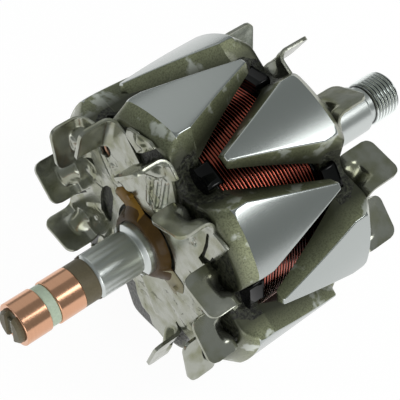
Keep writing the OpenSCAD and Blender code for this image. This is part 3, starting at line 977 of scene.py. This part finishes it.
def fan_sheet_flat(shape, turns, holes, relief, lobes):
    """Triangles of the flat sheet between the bore and the blades' feet, pressed by relief."""
    size = shape.size
    half = size.blade_w / 2
    bend = shape.mid_bend
    heel = bend + FOOT
    side = -half - NOTCH_GAP
    back = np.stack([np.linspace(-half, half, BLADE_COLUMNS), np.full(BLADE_COLUMNS, heel)], axis=1)

    def at_blades(outline):
        return [spun(shape.to_plan(outline), turn) for turn in turns]

    tongues = at_blades(shape.tongue())
    notches = at_blades(np.array([(side, -FAR), (FAR, -FAR), (FAR, bend), (side, bend)]))
    feet = at_blades(np.array([(-half, heel), (half, heel), (half, -FAR), (-half, -FAR)]))
    bends = at_blades(np.array([(-half, heel), (half, heel), (half, -bend), (-half, -bend)]))
    loops = [circle(size.bore_r, 96), circle(size.ring_r, 120), *holes, *tongues, *notches]
    points, edges = joined(loops + (lobes + bends if lobes else []), at_blades(back))
    marks = [circle(r, 20, place(spot)) for spot in WELDS for r in WELD_RINGS]
    rows = np.arange(-SHEET_HALF, SHEET_HALF, SHEET_STEP * math.sqrt(3) / 2)
    columns = np.arange(-SHEET_HALF, SHEET_HALF, SHEET_STEP)
    grid = np.array([(x + (i % 2) * SHEET_STEP / 2, y) for i, y in enumerate(rows) for x in columns])
    points += [tuple(p) for p in np.concatenate([grid] + marks)]
    coords, _, faces, _, _, _ = geometry.delaunay_2d_cdt([Vector(p) for p in points], edges, [], 0, 1e-4)
    flat = np.array([tuple(c) for c in coords])
    faces = np.array([tuple(f) for f in faces])
    middle = flat[faces].mean(axis=1)
    keep = np.hypot(middle[:, 0], middle[:, 1]) < size.ring_r
    for tongue in tongues:
        keep |= in_polygon(middle, tongue)
    keep &= np.hypot(middle[:, 0], middle[:, 1]) > size.bore_r
    for opening in notches + feet:
        keep &= ~in_polygon(middle, opening)
    for lobe in lobes:
        extra = in_polygon(middle, lobe)
        for bent in bends:
            extra &= ~in_polygon(middle, bent)
        keep |= extra
    for hole in holes:
        keep &= ~in_polygon(middle, hole)
    faces = faces[keep]
    used = np.unique(faces)
    index = np.full(len(flat), -1)
    index[used] = np.arange(len(used))
    flat = flat[used]
    z = shape.sheet_z + relief(flat)
    return np.concatenate([flat, z[:, None]], axis=1), [tuple(f) for f in index[faces]]


def fan_skin(size, height, turns, relief, holes=(), plain=(), lobes=()):
    """Middle surface of a fan on the plane of the pole's face. Blades in plain have no gusset."""
    shape = BladeShape(size, height)
    skin = Skin()
    points, faces = fan_sheet_flat(shape, turns, holes, relief, lobes)
    skin.add(points, faces)
    for turn in turns:
        rows = turned(shape.patch(pressed=turn not in plain), turn)
        flat = rows[..., 2] < shape.sheet_z + 1e-6
        marks = relief(rows[..., :2].reshape(-1, 2)).reshape(flat.shape)
        rows[..., 2] += np.where(flat, marks, 0)
        skin.grid(rows, holes=holes)
    return skin


def dome(points, spot, width, height):
    """A round dimple or boss at a place on the fan."""
    return height * smoothstep(1 - np.linalg.norm(points - place(spot), axis=1) / width)


def bead(points, start, stop, width, height):
    """A pressed bead between two (radius, turn) places."""
    a = place(start)
    along = place(stop) - a
    share = np.clip(((points - a) @ along) / (along @ along), 0, 1)
    d = np.linalg.norm(points - a - share[:, None] * along, axis=1)
    return height * smoothstep((width - d) / (width * 0.7))


def crescent_hole():
    """Outline of the curved opening beside the bore."""
    radius, degrees, half_w, half_turn = CRESCENT
    along = np.linspace(-1, 1, 15)
    half = half_w * np.sqrt(1 - along ** 2)
    spokes = at_turn(1, np.radians(degrees + half_turn * along))
    outer = spokes * (radius + half)[:, None]
    inner = spokes * (radius - half)[:, None]
    return np.concatenate([outer, inner[::-1][1:-1]])


def fan_relief(turns, rear):
    """Weld marks, and a bead along each tongue. The rear fan has a channel for a lead and three ribs."""
    def relief(points):
        z = np.zeros(len(points))
        for spot in WELDS:
            for width, height in WELD_DOMES:
                z += dome(points, spot, width, height)
        for turn in turns:
            if not (rear and turn in PLAIN_TONGUES):
                start, stop = [(radius, turn + off) for radius, off in (BEAD_START, BEAD_STOP)]
                z += bead(points, start, stop, *BEAD)
        if rear:
            z += bead(points, *LEAD_CHANNEL, *CHANNEL_LIPS) - bead(points, *LEAD_CHANNEL, *CHANNEL_BED)
            for start, stop in RIBS:
                z += bead(points, start, stop, *RIB)
            for radius, degrees, width in LOBE_DENTS:
                z += dome(points, (radius, degrees), width, LOBE_DENT)
        return z
    return relief


def add_fans(settings, finish):
    size = in_mm(settings.fans)
    face_z = in_mm(settings.poles).face_z
    openings = [circle(LEAD_HOLE_R, 40, place(LEAD_HOLE)), crescent_hole(), outline_of(SLOT)]
    lobes = [outline_of(lobe) for lobe in LOBES]
    for name, turns, height, rear in (("rear_fan_sheet", REAR_BLADES, size.rear_h, True),
                                      ("front_fan_sheet", FRONT_BLADES, size.front_h, False)):
        relief = fan_relief(turns, rear)
        if rear:
            skin = fan_skin(size, height, turns, relief, openings, LEAD_BLADE, lobes)
        else:
            skin = fan_skin(size, height, turns, relief)
        for points in skin.points:
            points[:, 2] += face_z
        if rear:
            skin.mirrored()
        node = "rear_fan" if rear else "front_fan"
        item = skin.piece(name, [finish], "fan_sheet", [node], crease=50, merge=0.02)
        thick = item.modifiers.new("sheet thickness", "SOLIDIFY")
        thick.thickness = size.sheet_t * MM
        thick.offset = 0
        edge = item.modifiers.new("sheared edge", "BEVEL")
        edge.width = SHEARED_EDGE * MM
        edge.segments = 2
        edge.limit_method = "ANGLE"
        edge.angle_limit = math.radians(50)


# Shaft

# (radius, place along the axis) from the slip-ring end to the thread
SHAFT_STEPS = (
    (0, -71.5), (4.3, -71.5), (4.3, -50.5), (6.7, -50.5), (7.5, -49.7), (7.5, -35.2), (7.2, -35.0),
    (7.2, -34.2), (7.5, -34), (9, -33.2), (9, -31.6), (9, 27.7), (8.5, 27.7), (8.5, 64.7), (7.8, 65.5),
    (7, 65.7), (7, 67.9),
)
SEAT_R = 7.5
GROOVE_FROM = -50.6
GROOVE_TO = -31
# The mesh has an edge on each side of a groove's wall
GROOVE_HALF_TURN = 9.8
GROOVE_WALL = 0.2
THREAD_FROM = 67.9
THREAD_R = 8.0
THREAD_ROWS = 12
# Half width of a flat crest and run of a flank, as shares of half the pitch
CREST = 0.14
FLANK = 0.78
RELIEF_R = 7
RUN_OUT = 1.2
DRIVE_END = 79.0
END_CHAMFER = 0.8
END_FACE_R = (5.5, 2.2, 2.0, 0.4)
CENTRE_R = 2.1
CENTRE_DEPTH = 1.6


def add_shaft(settings, finishes):
    size = in_mm(settings.shaft)
    grooves = [STRIP_TURN, STRIP_TURN + 180]
    turns = np.linspace(0, 360, 144, endpoint=False)
    walls = [GROOVE_HALF_TURN + GROOVE_WALL, GROOVE_HALF_TURN - GROOVE_WALL]
    edges = [g + side * wall for g in grooves for side in (-1, 1) for wall in walls]
    turns = np.unique(np.mod(np.concatenate([turns, edges]), 360))
    rows = []
    for r, z in held(rounded(SHAFT_STEPS, 0.25, 3)):
        ring = np.full(len(turns), r)
        if GROOVE_FROM < z < GROOVE_TO:
            for g in grooves:
                off = np.radians((turns - g + 180) % 360 - 180)
                floor = (SEAT_R - size.groove_t) / np.cos(off)
                in_groove = np.abs(np.degrees(off)) < GROOVE_HALF_TURN
                ring = np.where(in_groove, np.minimum(ring, floor), ring)
        rows.append(polar(ring, turns, z))
    skin = Skin()
    skin.grid(np.array(rows), closed=True)
    # Each row of the thread follows the helix, and is cut off flat at both ends
    around = np.append(turns, 360)
    starts = np.arange(THREAD_FROM - size.thread_pitch, DRIVE_END + 0.01, size.thread_pitch / THREAD_ROWS)
    skin.grid(np.array([thread_row(size, z, around) for z in starts]), finishes=1)
    end = [thread_row(size, DRIVE_END, turns)]
    end += [polar(r, turns, DRIVE_END - CENTRE_DEPTH * (r < CENTRE_R)) for r in END_FACE_R]
    skin.grid(np.array(end), closed=True)
    skin.add(end[-1], [tuple(range(len(turns)))])
    skin.piece("turned_shaft", finishes, "shaft_steel", ["shaft"], crease=40)


def thread_row(size, start, turns):
    """Points of the thread's flank along the helix from a start."""
    z = np.clip(start + size.thread_pitch * turns / 360, THREAD_FROM, DRIVE_END)
    phase = np.mod(z / size.thread_pitch - turns / 360, 1)
    depth = size.thread_depth * np.clip((np.abs(2 * phase - 1) - CREST) / FLANK, 0, 1)
    run_out = RELIEF_R + (z - THREAD_FROM) * RUN_OUT
    chamfer = THREAD_R - END_CHAMFER + (DRIVE_END - z)
    return polar(np.minimum(np.minimum(run_out, chamfer), THREAD_R - depth), turns, z)


# Leads and resin

ARMS = (-20, 120)
ARM_HALF_TURN = 21
ARM_FADE = 8
ARM_REACH = 7
ARM_H = 0.5
FIRST_ARM_H = 0.9
# Half turn of the first arm's own shape, and the part of it that fades
FIRST_ARM_TURNS = (60, 30)
# The first arm bends past a radius, by so many degrees for each millimetre
ARM_TWIST = 3.0
TWIST_FROM_R = 12.5
RESIN_BORE_R = 9.02
RESIN_R = 12.3
RESIN_H = 3.2
RESIN_LUMP = 0.16
LEAST_RESIN = 0.02
# Radii where the collar starts to fall and the arms start to rise, and the run of both
COLLAR_R = 10.4
ARM_START_R = 10
RESIN_SLOPE = 3
RESIN_BASE = -27.75
RESIN_SHARES = (0, 0.15, 0.3, 0.45, 0.6, 0.72, 0.84, 0.92, 0.97, 1.0)
RESIN, AMBER, STAIN, ENAMEL = range(4)
# (radius, turn, place along the axis) of the lead that shows in the rear fan's hole
LEAD_BEND = ((34.4, -35.4, -26.3), (33.4, -36, -26.75), (31.4, -36.8, -26.75), (29.4, -37.2, -26.4))
LEAD_WIRE_R = 0.32


def add_lead_insulator(finishes):
    turns = np.linspace(0, 360, 180, endpoint=False)
    off = np.abs((turns[:, None] - np.array(ARMS) + 180) % 360 - 180)
    arm = smoothstep((ARM_HALF_TURN - off) / ARM_FADE).max(axis=1)
    drop = np.sqrt(1 - np.minimum(off.min(axis=1) / ARM_HALF_TURN, 1) ** 2)
    first = smoothstep((FIRST_ARM_TURNS[0] - off[:, 0]) / FIRST_ARM_TURNS[1])
    random = np.random.default_rng(3)
    lumps = np.zeros(len(turns))
    for k in range(2, 9):
        lumps += RESIN_LUMP * np.sin(np.radians(k * turns) + random.uniform(0, 6.28))
    outer = RESIN_R + ARM_REACH * arm * (0.5 + 0.5 * drop) + lumps * (0.5 + 0.6 * arm)
    arm_height = (ARM_H + FIRST_ARM_H * first) * arm * drop
    rows = []
    kinds = []
    for share in RESIN_SHARES:
        r = RESIN_BORE_R + share * (outer - RESIN_BORE_R)
        collar = RESIN_H * (1 - smoothstep((r - COLLAR_R) / RESIN_SLOPE))
        height = collar + arm_height * smoothstep((r - ARM_START_R) / RESIN_SLOPE)
        edge = np.sqrt(np.maximum(0, 1 - max(0, (share - 0.5) / 0.5) ** 2))
        twist = -ARM_TWIST * np.maximum(r - TWIST_FROM_R, 0) * first
        rows.append(polar(r, turns + twist, RESIN_BASE - np.maximum(height * edge, LEAST_RESIN)))
        thin = (arm > 0.3) & (0.4 < share < 1)
        kinds += [int(kind) for kind in np.where(thin, np.where(first > 0.5, AMBER, STAIN), RESIN)]
    rows += [polar(RESIN_BORE_R, turns, RESIN_BASE), rows[0]]
    kinds += [RESIN] * len(turns)
    skin = Skin()
    skin.grid(np.array(rows), closed=True, finishes=kinds)
    # The lead crosses the hole on the pole's face and dives under the channel
    ring = circle(LEAD_WIRE_R, 10)
    across = place((1, LEAD_HOLE[1] + 90))
    loops = []
    for radius, degrees, z in LEAD_BEND:
        middle = polar(radius, degrees, z)
        loops.append([middle + [*(across * side), rise] for side, rise in ring])
    skin.tube(loops, ENAMEL, ENAMEL)
    skin.piece("resin_ring", finishes, "brown_resin", ["lead_insulator"], crease=60)


# Slip rings

HUB_R = 5.5
RING_R = 7.1
RING_LEN = 9
SPACER_R = 6.6
INNER_RING_Z = -65
OUTER_RING_Z = -77.5


def add_band(name, finish, slot, node, radii, low, high, edge_r):
    """A band round the hub, whose outline starts on its end face at the first of two radii."""
    seam_r, outer_r = radii
    outline = [(seam_r, low), (HUB_R, low), (HUB_R, high), (outer_r, high), (outer_r, low), (seam_r, low)]
    skin = Skin()
    lathe(skin, rounded(outline, edge_r, 4))
    skin.piece(name, [finish], slot, [node], crease=40)


def add_slip_rings(copper, green):
    for name, node, z in (("inner_ring", "slip_ring_inner", INNER_RING_Z),
                          ("outer_ring", "slip_ring_outer", OUTER_RING_Z)):
        add_band(name, copper, "ring_copper", node, (6.3, RING_R), z, z + RING_LEN, 0.3)
    spacer_z = OUTER_RING_Z + RING_LEN
    add_band("green_spacer", green, "mint_moulding", "ring_spacer", (6, SPACER_R),
             spacer_z, INNER_RING_Z, 0.25)


def bevelled_node(name, material, width):
    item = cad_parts[name]
    item.data.materials.clear()
    item.data.materials.append(material)
    edge = item.modifiers.new("edges", "BEVEL")
    edge.width = width * MM
    edge.segments = 2
    edge.limit_method = "ANGLE"
    edge.angle_limit = math.radians(40)


# Stage

FLOOR_HALF = 3.0
# Share of the white that the camera and reflections see in place of the lit paper
PAPER_SHARE = 0.88
PAPER_LEVEL = 1.08
SENSOR_W = 36
# In mm from the pack's middle
CAMERA_AIM = (-3.4, 2.4, 0.1)


def add_floor(scene):
    """Paper that takes the shadow, and is white to the camera and in reflections."""
    mesh = bpy.data.meshes.new("floor")
    corners = [(x * FLOOR_HALF, y * FLOOR_HALF, 0) for x, y in ((-1, -1), (1, -1), (1, 1), (-1, 1))]
    mesh.from_pydata(corners, [], [(0, 1, 2, 3)])
    floor = bpy.data.objects.new("floor", mesh)
    scene.collection.objects.link(floor)
    paper = bpy.data.materials.new("white_paper")
    paper.use_nodes = True
    tree = paper.node_tree
    shader = tree.nodes["Principled BSDF"]
    shader.inputs["Base Color"].default_value = (0.8, 0.8, 0.8, 1)
    shader.inputs["Roughness"].default_value = 0.9
    path = add_node(tree, "ShaderNodeLightPath")
    seen = add_node(tree, "ShaderNodeMath", {
        0: path.outputs["Is Camera Ray"], 1: path.outputs["Is Glossy Ray"]})
    also = add_node(tree, "ShaderNodeMath", {
        0: seen.outputs[0], 1: path.outputs["Is Transmission Ray"]}, use_clamp=True)
    part = add_node(tree, "ShaderNodeMath", {0: also.outputs[0], 1: PAPER_SHARE}, operation="MULTIPLY")
    glow = add_node(tree, "ShaderNodeEmission", {"Color": (1, 1, 1, 1), "Strength": PAPER_LEVEL})
    mix = add_node(tree, "ShaderNodeMixShader", {
        0: part.outputs[0], 1: shader.outputs[0], 2: glow.outputs[0]})
    tree.links.new(mix.outputs[0], tree.nodes["Material Output"].inputs["Surface"])
    mesh.materials.append(paper)


def add_room(scene):
    """A dim pale room, white to the camera past the floor's edge."""
    world = bpy.data.worlds.new("studio")
    world.use_nodes = True
    scene.world = world
    tree = world.node_tree
    path = add_node(tree, "ShaderNodeLightPath")
    sky = add_node(tree, "ShaderNodeBackground", {
        "Color": (0.95, 1, 0.97, 1), "Strength": scene.rotor.stage.sky})
    white = add_node(tree, "ShaderNodeBackground", {"Color": (1, 1, 1, 1), "Strength": 1.0})
    mix = add_node(tree, "ShaderNodeMixShader", {
        0: path.outputs["Is Camera Ray"], 1: sky.outputs[0], 2: white.outputs[0]})
    tree.links.new(mix.outputs[0], tree.nodes["World Output"].inputs["Surface"])


def add_lamps(scene):
    """A softbox with its bulb in front on the right, a low card on the left, a wide softbox behind."""
    stage = scene.rotor.stage
    front = (0.42, -0.55, 0.72)
    for name, toward, width, watts in (("front_softbox", front, 0.28, stage.key),
                                       ("side_card", (-0.5, -0.84, 0.2), 0.5, stage.card),
                                       ("softbox_bulb", front, 0.06, stage.bulb),
                                       ("back_softbox", (0.1, 0.75, 0.75), 0.8, stage.fill)):
        lamp = bpy.data.lights.new(name, "AREA")
        lamp.size = width
        lamp.energy = watts
        item = bpy.data.objects.new(name, lamp)
        item.location = Vector((0, 0, AXIS_Z)) + Vector(toward).normalized() * stage.lamp_distance
        item.rotation_euler = Vector(toward).to_track_quat("Z", "Y").to_euler()
        scene.collection.objects.link(item)


def add_camera(scene):
    """The camera turns with the rotor, so that it keeps its view of the claws."""
    stage = scene.rotor.stage
    lens = bpy.data.cameras.new("camera")
    lens.lens = stage.focal
    lens.sensor_width = SENSOR_W
    camera = bpy.data.objects.new("camera", lens)
    scene.collection.objects.link(camera)
    level = math.cos(stage.elevation)
    forward = Vector((-math.sin(stage.azimuth) * level, math.cos(stage.azimuth) * level,
                      -math.sin(stage.elevation)))
    right = forward.cross(Vector((0, 0, 1))).normalized()
    up = right.cross(forward)
    eye = Vector(CAMERA_AIM) - forward * stage.distance / MM
    tilt = Matrix.Rotation(math.radians(REST_TURN), 3, "X")
    spot = tilt @ (eye * MM) + Vector((PACK_X, 0, AXIS_Z))
    basis = Matrix((tilt @ right, tilt @ up, tilt @ -forward)).transposed()
    camera.matrix_world = Matrix.Translation(spot) @ basis.to_4x4()
    scene.camera = camera


# Operators

class ROTOR_OT_claw_poles(bpy.types.Operator):
    """Builds the forged claw poles"""
    bl_idname = "rotor.claw_poles"
    bl_label = "Claw poles"

    def execute(self, context):
        colours = context.scene.rotor.colours
        finishes = [turned_steel(colours.turned_steel), forged_steel(colours.forged_steel),
                    varnished_forging(colours.varnish)]
        add_claw_poles(context.scene.rotor, finishes)
        return {"FINISHED"}


class ROTOR_OT_field_coil(bpy.types.Operator):
    """Winds the field coil on its bobbin"""
    bl_idname = "rotor.field_coil"
    bl_label = "Field coil"

    def execute(self, context):
        colours = context.scene.rotor.colours
        size = in_mm(context.scene.rotor.coil)
        pitch = 2 * size.half_len / wire_count(size)
        wire = enamelled_wire(colours.wire, pitch, PACK_X - size.half_len * MM)
        nylon = moulding("glossy_nylon", colours.moulding, 0.06, 2.0, 0.06, 0.25)
        add_field_coil(context.scene.rotor, wire)
        add_coil_bobbin(context.scene.rotor, nylon)
        return {"FINISHED"}


class ROTOR_OT_fans(bpy.types.Operator):
    """Presses the two fans"""
    bl_idname = "rotor.fans"
    bl_label = "Fans"

    def execute(self, context):
        add_fans(context.scene.rotor, fan_sheet(context.scene.rotor.colours.fan_sheet))
        return {"FINISHED"}


class ROTOR_OT_shaft(bpy.types.Operator):
    """Turns the shaft"""
    bl_idname = "rotor.shaft"
    bl_label = "Shaft"

    def execute(self, context):
        code = context.scene.rotor.colours.ground_steel
        add_shaft(context.scene.rotor, [ground_steel(code), rolled_thread(code)])
        return {"FINISHED"}


class ROTOR_OT_leads(bpy.types.Operator):
    """Casts the resin over the leads"""
    bl_idname = "rotor.leads"
    bl_label = "Leads"

    def execute(self, context):
        colours = context.scene.rotor.colours
        resin = cast_resin("cast_resin", colours.resin)
        amber = cast_resin("amber_resin", colours.amber)
        stain = cast_resin("resin_stain", colours.stain)
        enamel = moulding("lead_enamel", colours.copper, 0.2, 1.0, 0.05)
        add_lead_insulator([resin, amber, stain, enamel])
        for name, finish in (("coil_lead_upper", amber), ("coil_lead_lower", stain),
                             ("lead_strip_upper", resin), ("lead_strip_lower", resin)):
            bevelled_node(name, finish, 0.15)
        return {"FINISHED"}


class ROTOR_OT_slip_rings(bpy.types.Operator):
    """Builds the slip rings and their hub"""
    bl_idname = "rotor.slip_rings"
    bl_label = "Slip rings"

    def execute(self, context):
        colours = context.scene.rotor.colours
        green = moulding("green_nylon", colours.spacer, 0.4, 0.8, 0.1)
        add_slip_rings(ring_copper(colours.copper), green)
        bevelled_node("slip_ring_hub", moulding("phenolic", colours.hub, 0.5, 0.6, 0.25), 0.25)
        bevelled_node("end_terminal", fan_sheet(colours.terminal), 0.15)
        return {"FINISHED"}


class ROTOR_OT_stage(bpy.types.Operator):
    """Sets the floor, the lights and the camera"""
    bl_idname = "rotor.stage"
    bl_label = "Stage"

    def execute(self, context):
        scene = context.scene
        scene.view_settings.view_transform = "Standard"
        add_floor(scene)
        add_room(scene)
        add_lamps(scene)
        add_camera(scene)
        return {"FINISHED"}


OPERATORS = (ROTOR_OT_claw_poles, ROTOR_OT_field_coil, ROTOR_OT_fans, ROTOR_OT_shaft, ROTOR_OT_leads,
             ROTOR_OT_slip_rings, ROTOR_OT_stage)


class ROTOR_PT_panel(bpy.types.Panel):
    """Lists the rotor's operators"""
    bl_idname = "ROTOR_PT_panel"
    bl_label = "Alternator rotor"
    bl_space_type = "VIEW_3D"
    bl_region_type = "UI"
    bl_category = "Rotor"

    def draw(self, context):
        for operator in OPERATORS:
            self.layout.operator(operator.bl_idname)


CLASSES = (PoleSizes, CoilSizes, FanSizes, ShaftSizes, RotorColours, StageSettings, RotorSettings,
           *OPERATORS, ROTOR_PT_panel)


def register():
    for item in CLASSES:
        bpy.utils.register_class(item)
    bpy.types.Scene.rotor = bpy.props.PointerProperty(type=RotorSettings)


def unregister():
    del bpy.types.Scene.rotor
    for item in reversed(CLASSES):
        bpy.utils.unregister_class(item)


def main():
    register()
    bpy.ops.rotor.claw_poles()
    bpy.ops.rotor.field_coil()
    bpy.ops.rotor.fans()
    bpy.ops.rotor.shaft()
    bpy.ops.rotor.leads()
    bpy.ops.rotor.slip_rings()
    bpy.ops.rotor.stage()


if __name__ == "__main__":
    main()
